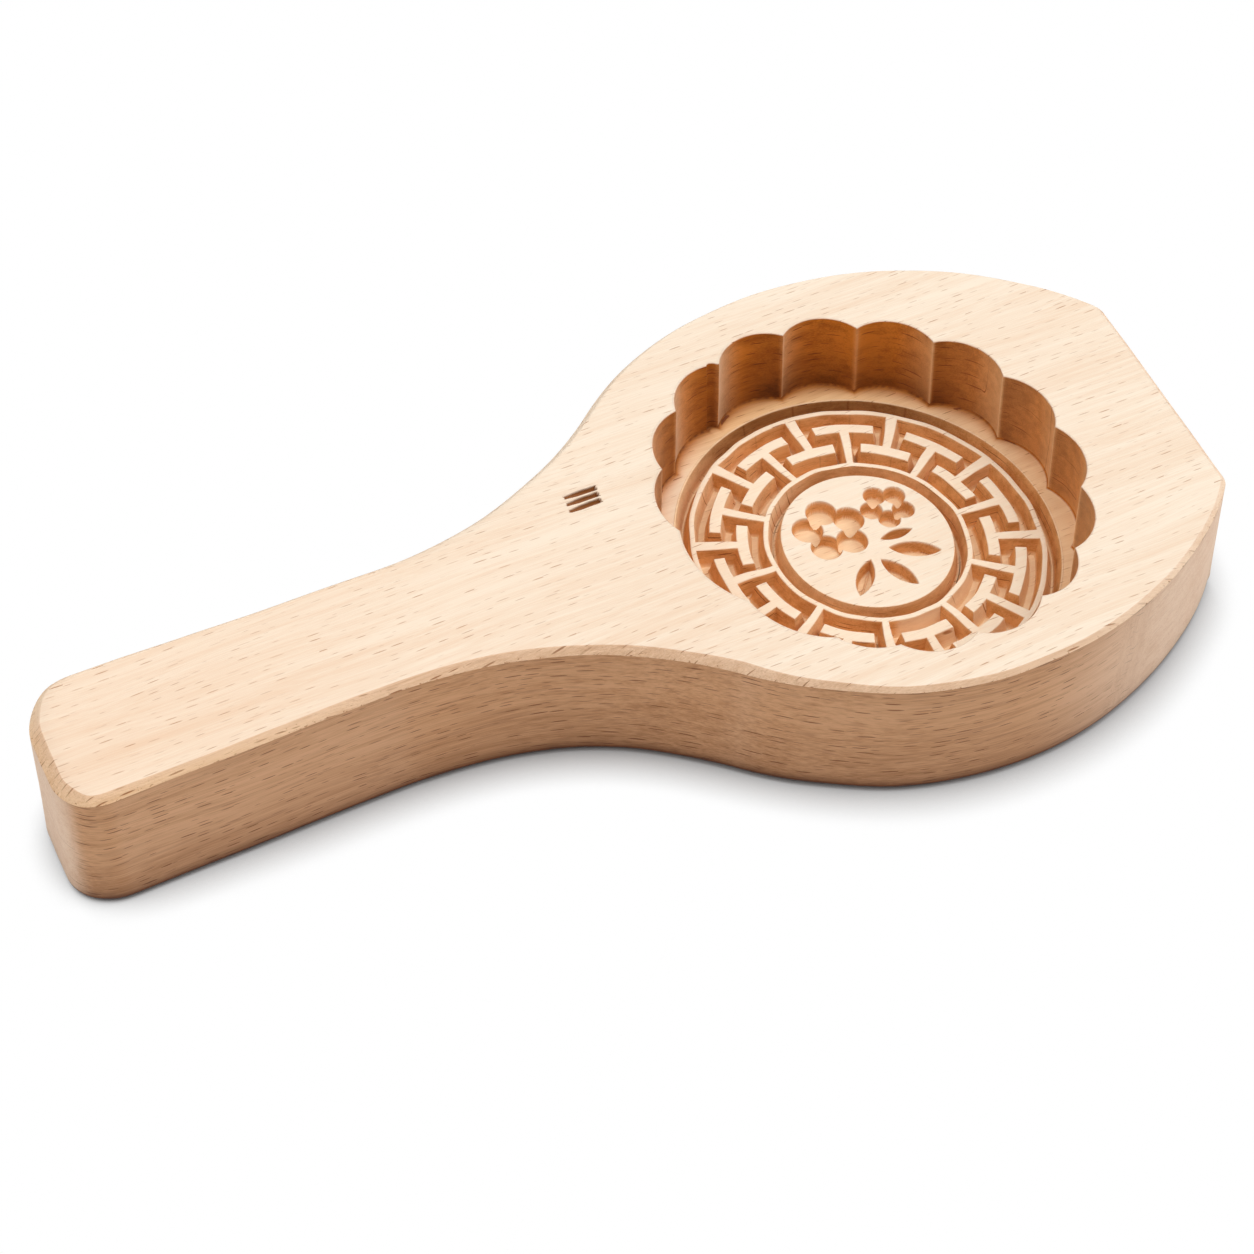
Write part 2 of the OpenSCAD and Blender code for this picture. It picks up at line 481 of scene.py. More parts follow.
class Wire:
    """A shader socket that takes part in sums and products through Python's operators."""

    def __init__(self, tree: "Tree", socket: bpy.types.NodeSocket) -> None:
        """Keeps the tree and the socket."""
        self.tree = tree
        self.socket = socket

    def __add__(self, other: "Value") -> "Wire":
        """This plus other."""
        return self.tree.maths("ADD", self, other)

    __radd__ = __add__

    def __sub__(self, other: "Value") -> "Wire":
        """This minus other."""
        return self.tree.maths("SUBTRACT", self, other)

    def __rsub__(self, other: "Value") -> "Wire":
        """Other minus this."""
        return self.tree.maths("SUBTRACT", other, self)

    def __mul__(self, other: "Value") -> "Wire":
        """This times other."""
        return self.tree.maths("MULTIPLY", self, other)

    __rmul__ = __mul__

    def __truediv__(self, other: "Value") -> "Wire":
        """This over other."""
        return self.tree.maths("DIVIDE", self, other)

    def clamp(self) -> "Wire":
        """This held between 0 and 1."""
        return self.tree.node("ShaderNodeClamp", {}, {"Value": self})["Result"]


Value = Union[Wire, float]


class Made:
    """A node just made, whose outputs are read by name."""

    def __init__(self, tree: "Tree", node: bpy.types.Node) -> None:
        """Keeps the tree and the node."""
        self.tree = tree
        self.node = node

    def __getitem__(self, name: str) -> Wire:
        """The output of that name or identifier."""
        return Wire(self.tree, Tree.socket(self.node.outputs, name))


class Tree:
    """Writes one material's or world's nodes."""

    def __init__(self, owner: Union[bpy.types.Material, bpy.types.World]) -> None:
        """Starts with an empty tree.

        Args:
            owner: The material or world.
        """
        owner.use_nodes = True
        self.nodes = owner.node_tree.nodes
        self.links = owner.node_tree.links
        self.nodes.clear()

    @staticmethod
    def socket(sockets: Any, name: str) -> bpy.types.NodeSocket:
        """The socket whose identifier, or else whose name, is given."""
        by_identifier = [s for s in sockets if s.identifier == name]
        return (by_identifier or [s for s in sockets if s.name == name])[0]

    def node(self, kind: str, settings: dict[str, Any], inputs: dict[str, Any]) -> Made:
        """Adds a node.

        Args:
            kind: Blender's type name of the node.
            settings: Properties, set first.
            inputs: Values or wires by the socket's name or identifier.

        Returns:
            The node, ready to be read from.
        """
        made = self.nodes.new(kind)
        for name, value in settings.items():
            setattr(made, name, value)
        for name, value in inputs.items():
            target = self.socket(made.inputs, name)
            if isinstance(value, Wire):
                self.links.new(value.socket, target)
            else:
                target.default_value = value
        return Made(self, made)

    def maths(self, operation: str, a: Value, b: Value) -> Wire:
        """A Math node on two values."""
        inputs = {"Value": a, "Value_001": b}
        return self.node("ShaderNodeMath", {"operation": operation}, inputs)["Value"]

    def mix(self, factor: Value, a: Any, b: Any, blend: str = "MIX") -> Wire:
        """A Mix node on two colours.

        Args:
            factor: 0 gives a and 1 gives the blend.
            a, b: Colours or wires.
            blend: How b is laid over a.

        Returns:
            The mixed colour.
        """
        settings = {"data_type": "RGBA", "blend_type": blend}
        inputs = {"Factor_Float": factor, "A_Color": a, "B_Color": b}
        return self.node("ShaderNodeMix", settings, inputs)["Result_Color"]

    def vectors(self, operation: str, a: Any, b: Any) -> Wire:
        """A Vector Math node on two vectors."""
        inputs = {"Vector": a, "Vector_001": b}
        return self.node("ShaderNodeVectorMath", {"operation": operation}, inputs)["Vector"]

    def scaled(self, vector: Wire, sizes: Triple) -> Wire:
        """The vector with each part divided by a size, so that a pattern has that size."""
        return self.vectors("MULTIPLY", vector, tuple(1.0 / s for s in sizes))

    def noise(self, vector: Wire, sizes: Triple, detail: float = 2.0, rough: float = 0.5) -> Wire:
        """Noise between 0 and 1 whose grains have the given sizes."""
        inputs = {"Vector": self.scaled(vector, sizes), "Detail": detail, "Roughness": rough}
        return self.node("ShaderNodeTexNoise", {}, {**inputs, "Scale": 1.0})["Fac"]

    def zone(self, zone: Zone) -> Wire:
        """The piece's own mark for a zone."""
        return self.node("ShaderNodeAttribute", {"attribute_name": zone.value}, {})["Fac"]

    def seen(self) -> Wire:
        """1 for what the camera sees, straight, by a mirror or through glass, 0 for other light."""
        ray = self.node("ShaderNodeLightPath", {}, {})
        return (ray["Is Camera Ray"] + ray["Is Glossy Ray"] + ray["Is Transmission Ray"]).clamp()

    def fade(self, factor: Value, a: Wire, b: Wire) -> Wire:
        """Shader a where the factor is 0 and shader b where it is 1."""
        inputs = {"Fac": factor, "Shader": a, "Shader_001": b}
        return self.node("ShaderNodeMixShader", {}, inputs)["Shader"]


def rgba(colour: Colour) -> tuple[float, float, float, float]:
    """The colour with full alpha."""
    return (*colour, 1.0)


@dataclass(frozen=True)
class Tone:
    """A light and a dark shade of the same wood."""

    light: Colour
    dark: Colour


@dataclass(frozen=True)
class BeechFinish:
    """Dry sanded beech: lengthwise streaks, ray flecks, deeper colour in the cuts that is partly
    painted shade, torn edges, and painted shade and painted light laid in by the zone marks.

    Lengths are millimetres in the grain's own frame: along it, across it and up.
    """

    name: str
    face: Tone = Tone((0.965, 0.825, 0.665), (0.90, 0.69, 0.51))
    # side: the long grain's own deeper colour, partly painted shade
    side: Tone = Tone((0.77, 0.42, 0.217), (0.58, 0.28, 0.122))
    end: Tone = Tone((0.94, 0.69, 0.505), (0.83, 0.55, 0.37))
    # cut: deeper orange-brown of cut wood, partly painted shade
    cut: Tone = Tone((0.715, 0.237, 0.024), (0.452, 0.125, 0.005))
    # deep: darkest brown, used for painted shade and for the drying checks
    deep: Tone = Tone((0.182, 0.047, 0.005), (0.087, 0.021, 0.002))
    floor: Tone = Tone((0.95, 0.64, 0.345), (0.84, 0.51, 0.245))
    aged: Colour = (0.985, 0.925, 0.885)
    fleck: Colour = (0.58, 0.38, 0.26)
    side_fleck: Colour = (0.38, 0.26, 0.18)
    torn: Colour = (0.46, 0.27, 0.16)
    # dark colour laid into the gouges
    gouge_dark: Colour = (0.223, 0.071, 0.012)
    fibre: Triple = (14.0, 0.26, 0.26)
    streak: Triple = (55.0, 1.6, 1.6)
    band: Triple = (170.0, 9.0, 12.0)
    vein: Triple = (22.0, 0.55, 0.7)
    ray_cell: Pair = (4.2, 1.35)
    ray_half: Pair = (1.65, 0.125)
    bold_cell: Pair = (4.2, 1.35)
    bold_half: Pair = (1.85, 0.15)
    tear: Triple = (0.8, 0.45, 0.45)
    mottle: Triple = (7.0, 3.5, 2.6)
    drift: Triple = (48.0, 16.0, 16.0)
    bend: Triple = (0.0, 4.0, 4.0)
    roughness: float = 0.58
    bump_depth: float = 0.00045

    def flecks(self, tree: Tree, flat: Wire, cell: Pair, half: Pair, crisp: float) -> Wire:
        """Ray flecks: a thin dash about the seeded point of most cells, each with its own strength.

        Args:
            tree: Where the nodes go.
            flat: Place on the surface, along the grain and across it.
            cell: Size of the cell that holds one fleck.
            half: Largest half length and half width of a fleck.
            crisp: How sharply a fleck ends; crisp flecks are seldom faint.

        Returns:
            1 in a fleck, 0 outside.
        """
        spot = tree.scaled(flat, (*cell, 1.0))
        cells = tree.node("ShaderNodeTexVoronoi", {"feature": "F1", "voronoi_dimensions": "2D"}, {
            "Vector": spot, "Scale": 1.0, "Randomness": 1.0})
        off = tree.vectors("SUBTRACT", spot, cells["Position"])
        apart = tree.node("ShaderNodeVectorMath", {"operation": "LENGTH"}, {
            "Vector": tree.scaled(off, (half[0] / cell[0], half[1] / cell[1], 1.0))})["Value"]
        own = tree.node("ShaderNodeSeparateColor", {}, {"Color": cells["Color"]})
        strength = (own["Green"] * 1.45 - 0.9 / crisp).clamp()
        return ((own["Red"] * 0.65 + 0.35 - apart) * crisp).clamp() * strength

    def material(self) -> bpy.types.Material:
        """The finish on a piece's grain places and zone marks.

        Noise along the grain mixes each zone's light and dark shade, and the zones' marks mix the
        zones. Flecks, torn fibres and the dark gouges lie over them. The cut, deep, floor, side and
        end tones and marks also carry painted shade and painted light in places.

        Returns:
            The material.
        """
        made = bpy.data.materials.new(self.name)
        tree = Tree(made)
        straight = tree.node("ShaderNodeAttribute", {"attribute_name": GRAIN}, {})["Vector"]
        drift = tree.node("ShaderNodeTexNoise", {}, {
            "Vector": tree.scaled(straight, self.drift), "Scale": 1.0, "Detail": 1.0})["Color"]
        grain = tree.vectors("ADD", straight, tree.vectors("MULTIPLY", drift, self.bend))
        carve, deep, floor, edge, side, end, mark = (tree.zone(z) for z in Zone)

        fibre = tree.noise(grain, self.fibre, 3.0, 0.6)
        streak = tree.noise(grain, self.streak, 2.0)
        band = tree.noise(grain, self.band, 1.0)
        vein = ((0.46 - tree.noise(grain, self.vein, 1.0)) * 6.0).clamp()
        spot = tree.node("ShaderNodeSeparateXYZ", {}, {"Vector": grain})
        upright = ((side + carve * 1.4 - 0.85) * 8.0).clamp()
        flat = tree.node("ShaderNodeCombineXYZ", {}, {
            "X": spot["X"], "Y": spot["Y"] + (spot["Z"] - spot["Y"]) * upright, "Z": 0.0})["Vector"]
        lengthwise = 1.0 - side * end * 0.85
        ray = self.flecks(tree, flat, self.ray_cell, self.ray_half, 3.0)
        ray = ray * lengthwise * (1.0 - side * 0.4)
        rough_cut = (side + carve * 0.7).clamp()
        bold_ray = self.flecks(tree, flat, self.bold_cell, self.bold_half, 5.0)
        bold_ray = bold_ray * rough_cut * lengthwise
        tear = tree.noise(straight, self.tear, 3.0, 0.7)

        mottle = (tree.noise(straight, self.mottle, 3.0, 0.6) - 0.5) * carve
        light = mottle * 2.2 + (fibre - 0.5) * (side * 0.9 + 1.9) + (streak - 0.5) * 1.5
        light = (light + (band - 0.5) * 1.2 + 0.6).clamp()
        face, long, across, cut, dim, bare = (
            tree.mix(light, rgba(t.dark), rgba(t.light))
            for t in (self.face, self.side, self.end, self.cut, self.deep, self.floor))
        place = tree.node("ShaderNodeSeparateXYZ", {}, {"Vector": straight})
        held = ((place["X"] + 25.0) / -125.0).clamp()
        face = tree.mix(held, face, rgba(self.aged), "MULTIPLY")
        colour = tree.mix(side, face, tree.mix(end, long, across))
        colour = tree.mix(floor, colour, bare)
        # cut tone: the cut wood's colour, partly painted shade, eased where walls face the lamps as
        # painted light
        colour = tree.mix(carve, colour, cut)
        # deep tone: painted shade, and the drying checks
        colour = tree.mix(deep, colour, dim)
        long_cut = side - side * end
        flecked = (ray * 0.85 + bold_ray * 0.9 + vein * (long_cut * 0.25)).clamp()
        shade = tree.mix(rough_cut, rgba(self.fleck), rgba(self.side_fleck))
        colour = tree.mix(flecked, colour, shade, "MULTIPLY")
        torn = ((edge * edge * 0.16 + 0.30 - tear) * 9.0).clamp() * (edge * 6.0).clamp()
        torn = (torn + ((tear - 0.63) * 9.0).clamp() * (carve * 0.55 + side * end * 0.4)).clamp()
        colour = tree.mix(torn, colour, rgba(self.torn), "MULTIPLY")
        # gouge_dark darkens the gouges' hollows
        colour = tree.mix(mark, colour, rgba(self.gouge_dark))

        height = fibre * 0.4 + streak * 0.2 - ray * 0.3
        height = height + tear * ((edge * 4.0).clamp() * 1.2 + carve * 0.35)
        bump = tree.node("ShaderNodeBump", {}, {
            "Height": height, "Strength": 0.4, "Distance": self.bump_depth})["Normal"]
        surface = tree.node("ShaderNodeBsdfPrincipled", {}, {
            "Base Color": colour, "Roughness": fibre * 0.12 + (self.roughness - 0.06) + edge * 0.1,
            "Normal": bump, "Specular IOR Level": 0.28})["BSDF"]
        tree.node("ShaderNodeOutputMaterial", {}, {"Surface": surface})
        return made


@dataclass
class CarvedPiece:
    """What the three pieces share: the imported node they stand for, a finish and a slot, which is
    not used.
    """

    node: str
    piece_name: str
    slot: str
    finish: BeechFinish
    crease: float = 32.0

    def skin(self) -> Skin:
        """The piece's surface."""
        raise NotImplementedError

    def make(self) -> bpy.types.Object:
        """Builds the piece, dresses it and puts it in the place of its node.

        Returns:
            The dressed piece.
        """
        piece = self.skin().build(self.piece_name, self.crease)
        piece.data.materials.append(self.finish.material())
        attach(piece, "root")
        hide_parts(self.node)
        LOG.info("%s: %d faces for %s", piece.name, len(piece.data.polygons), self.node)
        return piece


@dataclass(frozen=True)
class Levels:
    """Heights above the resting face, in millimetres."""

    seat: float = 5.5
    plate: float = 8.5
    ledge: float = 12.5
    top: float = 30.0


@dataclass
class MoldBoard(CarvedPiece):
    """The paddle: seat, ledge, scalloped wall, top face, rounded edges, sides and underside.

    Attributes:
        end_back, end_out, nose_back, nose_out: How far the handle's end and the head's end lean
            back at the top and out at the foot.
        near_tuck, head_tuck: How far the near side's foot is tucked in at the neck and the head.
        waist_in, head_swell, flank_in: How far the near side is set in at the neck, swells at the
            head and is set in beside the flat end.
        foot_in: How far the far lobes' feet come in at their middles.
        ridge_highlight_w: Half width of the pale line on each inward point, a painted highlight.
        dark_lobe: Direction of the lobes that face the camera, in degrees, where their painted shade
            is darkest.
        gouge_fan: Degrees that each gouge turns from the next.
        gouge_room: Half of the stretch of rows that crowd about the gouges.
    """

    outline: PaddleOutline = PaddleOutline()
    well: ScallopWell = ScallopWell()
    cut: HandCut = HandCut()
    level: Levels = Levels()
    columns: int = 1030
    pocket_r: float = 38.52
    ledge_fillet: float = 0.5
    rim_round: float = 0.3
    edge_round: float = 1.38
    head_edge: float = 0.95
    foot_round: float = 2.2
    edge_fullness: float = 1.08
    end_back: float = 0.85
    end_out: float = 0.7
    nose_back: float = 0.5
    nose_out: float = 1.5
    near_tuck: float = 0.65
    head_tuck: float = 0.5
    waist_in: float = 0.3
    head_swell: float = 0.65
    flank_in: float = 0.55
    ridge_highlight_w: float = 0.42
    dark_lobe: float = 68.0
    wall_shift: Pair = (0.27, 0.0)
    wall_draft: Pair = (-0.45, 0.25)
    foot_in: float = 0.85
    gouge_at: Pair = (-53.3, 14.1)
    gouge_len: float = 6.6
    gouge_w: float = 1.32
    gouge_d: float = 0.9
    gouge_step: Pair = (0.1, 1.75)
    gouge_fan: float = -1.5
    gouge_room: float = 4.2

    def gouges(self, xy: Array) -> Array:
        """Depth of the three short gouges at each place.

        A gouge goes in at a narrow tip, gets wider and deeper along its first half and stops short.

        Args:
            xy: Places on the top face.

        Returns:
            One share of the full depth per place.
        """
        deep = np.zeros(len(xy))
        for k in (-1.0, 0.0, 1.0):
            turn = LEAN + math.radians(self.gouge_fan) * k
            off = xy - np.array(self.gouge_at) - k * np.array(self.gouge_step)
            t = off @ np.array([math.cos(turn), math.sin(turn)]) / self.gouge_len + 0.5
            c = off @ np.array([-math.sin(turn), math.cos(turn)])
            half = 0.5 * self.gouge_w * (0.7 + 0.3 * smooth(t, 0.0, 0.4)) * ((t > 0.0) & (t < 1.0))
            hollow = np.clip(1.0 - np.abs(c / np.maximum(half, 1e-4)) ** 3, 0.0, 1.0)
            deep = np.maximum(deep, hollow * (half > 1e-3) * (0.5 + 0.5 * smooth(t, 0.0, 0.75)))
        return deep

    def _face_rows(self, inner: Array, outer: Array, angles: Array, rows: int = 40) -> list[Array]:
        """Rows of the top face, each at a share of the way out.

        Near the gouges most rows crowd into the gouges' reach.

        Args:
            inner, outer: Points by the well's rim and by the rounded edge.
            angles: Directions of the columns.
            rows: Number of rows.

        Returns:
            The rows' points.
        """
        start, stop = np.linalg.norm(inner, axis=1), np.linalg.norm(outer, axis=1)
        reach = math.hypot(*self.gouge_at)
        inside, beyond = ((reach + k * self.gouge_room - start) / (stop - start)
                          for k in (-1.0, 1.0))
        off = np.abs(from_way(angles, math.atan2(self.gouge_at[1], self.gouge_at[0])))
        near = 1.0 - smooth(off, math.radians(5.5), math.radians(9.0))
        knots = np.array([0.0, 0.12, 0.88, 1.0])
        found = []
        for share in np.linspace(0.0, 1.0, rows):
            part = np.clip((share - knots[:-1]) / np.diff(knots), 0.0, 1.0)
            crowded = inside * part[0] + (beyond - inside) * part[1] + (1.0 - beyond) * part[2]
            way = share + near * (crowded - share)
            found.append(inner + (outer - inner) * way[:, None])
        return found

    def _well_rows(self, skin: Skin, angles: Array) -> Array:
        """Adds the rows of the seat, the ledge, the scalloped wall and the rounded rim.

        A lobe is dark where it faces the camera and gets paler toward the edge that looks aside:
        painted shade and painted light in the lobe's colour, fitted to the lamps' directions.

        Args:
            skin: Where the rows go.
            angles: Directions of the columns.

        Returns:
            Points of the rim.
        """
        lv = self.level
        away = round_points(1.0, angles)
        cos, sin = away.T
        rim_r, ridge, across, way = self.well.radius(angles)
        rim = self.cut.rim(round_points(rim_r, angles))
        pocket = self.cut.floor(round_points(self.pocket_r, angles))
        far = smooth(sin, -0.1, 0.75)
        belly = (self.foot_in * (1.0 - across * across) * smooth(sin, 0.3, 0.8))[:, None]

        def wall(high: float) -> Array:
            """The scalloped wall at a share of its height, with its foot shifted and less full."""
            pull = np.array(self.wall_shift) - (np.array(self.wall_draft) + belly) * away
            return rim + (1.0 - high) * pull

        centre = np.broadcast_to(np.array(self.cut.floor_shift), pocket.shape)
        skin.add(centre, lv.seat, carve=1.0)
        # seat: painted shade toward the far side
        for z in (lv.seat, 0.5 * (lv.seat + lv.ledge), lv.ledge - 0.1):
            skin.add(pocket, z, carve=1.0, deep=0.14 * far)
        left, right = smooth(-cos, 0.3, 0.9), smooth(cos, 0.3, 0.9)
        lip = pocket + away * 0.03
        base = wall(0.0) - away * self.ledge_fillet
        # ledge: paler to the left and right as painted light, painted shade toward the far wall's
        # foot
        for share in (0.0, 0.3, 0.55, 0.75, 0.9, 1.0):
            xy = lip + (base - lip) * share
            z = lv.ledge + 0.04 * ripple(xy[:, 0], xy[:, 1], 9.0, 11) * share
            skin.add(xy, z, floor=1.0 - 0.75 * left - 0.22 * right,
                     carve=0.9 * share ** 2 * far, deep=0.4 * share ** 4 * far)
        cut_run = angles * self.well.cusp_r
        # uneven painted shade along the wall's foot, stronger at the far side
        uneven_foot_shade = 0.5 + 0.5 * ripple(cut_run, 0.0, 1.3, 22)
        for a in np.radians([40.0, 70.0]):
            xy = wall(0.0) - away * self.ledge_fillet * (1.0 - math.sin(a))
            skin.add(xy, lv.ledge + self.ledge_fillet * (1.0 - math.cos(a)), carve=1.0,
                     deep=(0.55 + 0.4 * uneven_foot_shade) * (0.35 + 0.65 * far))
        foot = lv.ledge + self.ledge_fillet
        # pale line on each inward point: painted highlight where the ridge catches light
        ridge_highlight = np.exp(-(ridge / self.ridge_highlight_w) ** 2)
        shy, sunny = smooth(-cos, -0.02, 0.55), smooth(cos, 0.6, 0.98)
        from_dark = np.degrees(from_way(angles, math.radians(self.dark_lobe)))
        slant = across * np.clip(from_dark / 25.0, -1.0, 1.0)
        bright, dull = np.clip(slant, 0.0, 1.0), np.clip(-slant, 0.0, 1.0)
        on_left = np.clip((-0.35 - way @ PHOTO_RIGHT) / 0.65, 0.0, 1.0) ** 2
        reach = np.where(from_dark > 0.0, 0.22 + 0.3 * shy, 0.52)
        # pale: painted light, walls paler toward the edge that looks aside and on the lamps' sides
        pale = reach * bright + 0.42 * on_left + 0.25 * sunny + 0.26 * smooth(-sin, 0.05, 0.45)
        for high in np.linspace(0.0, 1.0, 12):
            z = foot + (lv.top - self.rim_round - foot) * high
            tool = 0.05 * ripple(cut_run, z * 0.25, 2.4, 21)
            # low and dim: painted shade toward the wall's foot at the far side and where a lobe
            # faces the camera
            low = 0.8 * (1.0 - high) ** 1.8 * far * (1.0 - 0.55 * shy) * (1.0 - 0.5 * sunny)
            dim = low + 0.05 + 0.4 * dull
            skin.add(wall(high) + away * tool[:, None], z, floor=1.0 - 0.6 * on_left,
                     carve=np.clip(1.0 - 0.3 * ridge_highlight - pale, 0.0, 1.0),
                     deep=np.clip(dim * (1.0 - 0.5 * ridge_highlight), 0.0, 1.0))
        for a in np.radians([30.0, 60.0, 90.0]):
            fall = 1.0 - math.sin(a)
            xy = rim + away * self.rim_round * (1.0 - math.cos(a))
            skin.add(xy, lv.top - self.rim_round * fall, carve=0.8 * fall, edge=0.3)
        return rim

    def _side_rows(self, skin: Skin, angles: Array, rim: Array,
                   place: Array, out: Array, run: Array) -> None:
        """Adds the rows of the top face, the rounded edge, the sides, the foot and the underside.

        Args:
            skin: Where the rows go.
            angles: Directions of the columns.
            rim: Points of the well's rim.
            place, out, run: Points of the outline, its outward normals and its run lengths.
        """
        lv = self.level
        x, facing = place[:, 0], out @ GRAIN_WAY
        butt, nose = smooth(-facing, 0.3, 0.95), smooth(facing, 0.3, 0.95)
        near = smooth(-out[:, 1], 0.2, 0.7)
        hem = self.head_edge + (self.edge_round - self.head_edge) * smooth(-x, 20.0, 75.0)
        hem = hem * (1.0 + 0.10 * ripple(run, 0.0, 17.0, 32) + 0.5 * butt)
        before_flank = (1.0 - smooth(x, 0.0, 14.0)) * near
        waist = smooth(x, -95.0, -65.0) * (1.0 - smooth(x, -60.0, -35.0)) * near
        swell = smooth(x, -30.0, -14.0) * before_flank
        flank = smooth(x, 10.0, 40.0) * near * (1.0 - nose)
        tuck = self.near_tuck * waist + self.head_tuck * smooth(x, -50.0, -36.0) * before_flank
        shave = 0.12 + 0.08 * ripple(run, 0.0, 24.0, 31)
        shave = shave + self.waist_in * waist - self.head_swell * swell + self.flank_in * flank

        def hull(z: Measure, inset: Array) -> Array:
            """The outline at a height, with ends and near side a little out of square.

            Args:
                z: Height of the row, or of each of its points.
                inset: How far each point is set in.

            Returns:
                The row's points.
            """
            high = z / lv.top
            lean = butt * ((self.end_back + self.end_out) * high - self.end_out)
            lean = lean - nose * ((self.nose_back + self.nose_out) * high - self.nose_out)
            return place + GRAIN_WAY * lean[:, None] - out * (inset + tuck * (1.0 - high))[:, None]

        inner = rim + round_points(self.rim_round * 1.6, angles)
        for xy in self._face_rows(inner, hull(lv.top, shave + hem), angles):
            deep = self.gouges(xy)
            skin.add(xy, lv.top - self.gouge_d * deep - 0.02, mark=smooth(deep, 0.03, 0.3))
        power = 2.0 / self.edge_fullness
        # paler end-grain tone: true end grain at the handle's end; on the head it starts early, on
        # sides toward the right lamp, as painted light
        end_grain_and_painted_light = np.maximum(smooth(facing, -0.1, 0.47), smooth(-facing, 0.65, 0.98))
        shown = smooth(-out[:, 1], -0.7, 0.1)
        gold = 0.16 + 0.30 * smooth(-x, 90.0, 150.0)
        for share in np.linspace(0.0, 1.0, 9)[1:]:
            t = 0.5 * math.pi * share
            nick = 0.08 * np.abs(ripple(run, t * 3.0, 2.6, 33)) * math.sin(2.0 * t)
            inset = shave + hem * (1.0 - math.sin(t) ** power) + nick
            z = lv.top - hem * (1.0 - math.cos(t) ** power)
            # the rounded edge takes part of the side tone where it faces -Y: its own colour and
            # painted shade
            skin.add(hull(z, inset), z, edge=share, side=0.6 * shown,
                     end=end_grain_and_painted_light * (1.0 - 0.7 * butt), floor=gold * math.sin(t))
        slack = 0.3 + 0.7 * smooth(end_grain_and_painted_light, 0.6, 0.95)
        # an uneven dark line just under the rounded edge, toward the head
        under_edge_line = np.clip(ripple(run, 0.0, 9.0, 35), 0.0, 1.0) * smooth(x, -45.0, -10.0)
        for drop, dark in ((0.04, 0.55), (0.22, 0.45), (0.5, 0.0)):
            z = lv.top - hem - drop
            skin.add(hull(z, shave), z, slack, edge=0.6 - drop, side=1.0, end=end_grain_and_painted_light,
                     deep=dark * under_edge_line)
        # sides darker toward the foot: painted shade, less on the ends
        for share in (0.17, 0.34, 0.51, 0.68, 0.84, 0.94, 1.0):
            z = (lv.top - hem) + (self.foot_round + hem - lv.top) * share
            wave = 0.07 * (1.0 + ripple(run, z, 19.0, 34)) * math.sin(math.pi * share)
            low, lowest = min(1.0, max(0.0, (share - 0.4) / 0.5)), max(0.0, share - 0.84) / 0.16
            painted_foot_shade = (0.24 * low + 0.5 * lowest ** 3) * (1.0 - 0.6 * end_grain_and_painted_light)
            skin.add(hull(z, shave + wave), z, slack, side=1.0, end=end_grain_and_painted_light, deep=painted_foot_shade)
        # rounded foot nearly black: painted contact shade
        for t in np.linspace(0.0, 0.5 * math.pi, 6)[1:]:
            z = self.foot_round * (1.0 - math.sin(t))
            inset = shave + self.foot_round * (1.0 - math.cos(t))
            skin.add(hull(z, inset), z, slack, edge=0.5 * math.sin(2.0 * t), side=1.0, end=end_grain_and_painted_light,
                     deep=min(1.0, 0.74 + 0.8 * math.sin(t)))
        sole = hull(0.0, shave + self.foot_round)
        for share in (0.85, 0.5, 0.15, 0.0):
            skin.add(sole * share, 0.0)

    def skin(self) -> Skin:
        """Rows from the seat's middle up the well, over the top, down the side and under the board.

        Returns:
            The closed surface.
        """
        busy = math.atan2(self.gouge_at[1], self.gouge_at[0])
        angles, place, out, run = self.outline.sample(self.columns, self.well.cusps(), busy)
        skin = Skin(Closing.POLES)
        rim = self._well_rows(skin, angles)
        self._side_rows(skin, angles, rim, place, out, run)
        return skin


def crowd(edges: list[float], counts: list[int]) -> Array:
    """Places from the first edge up to, not including, the last, closer together toward each edge.

    Args:
        edges: Places of the edges, rising.
        counts: Numbers of places from each edge up to the next.

    Returns:
        The places, rising.
    """
    found = []
    for low, high, count in zip(edges[:-1], edges[1:], counts):
        t = np.arange(count) / count
        found.append(low + (high - low) * (1.0 - np.cos(math.pi * t)) / 2.0)
    return np.concatenate(found)


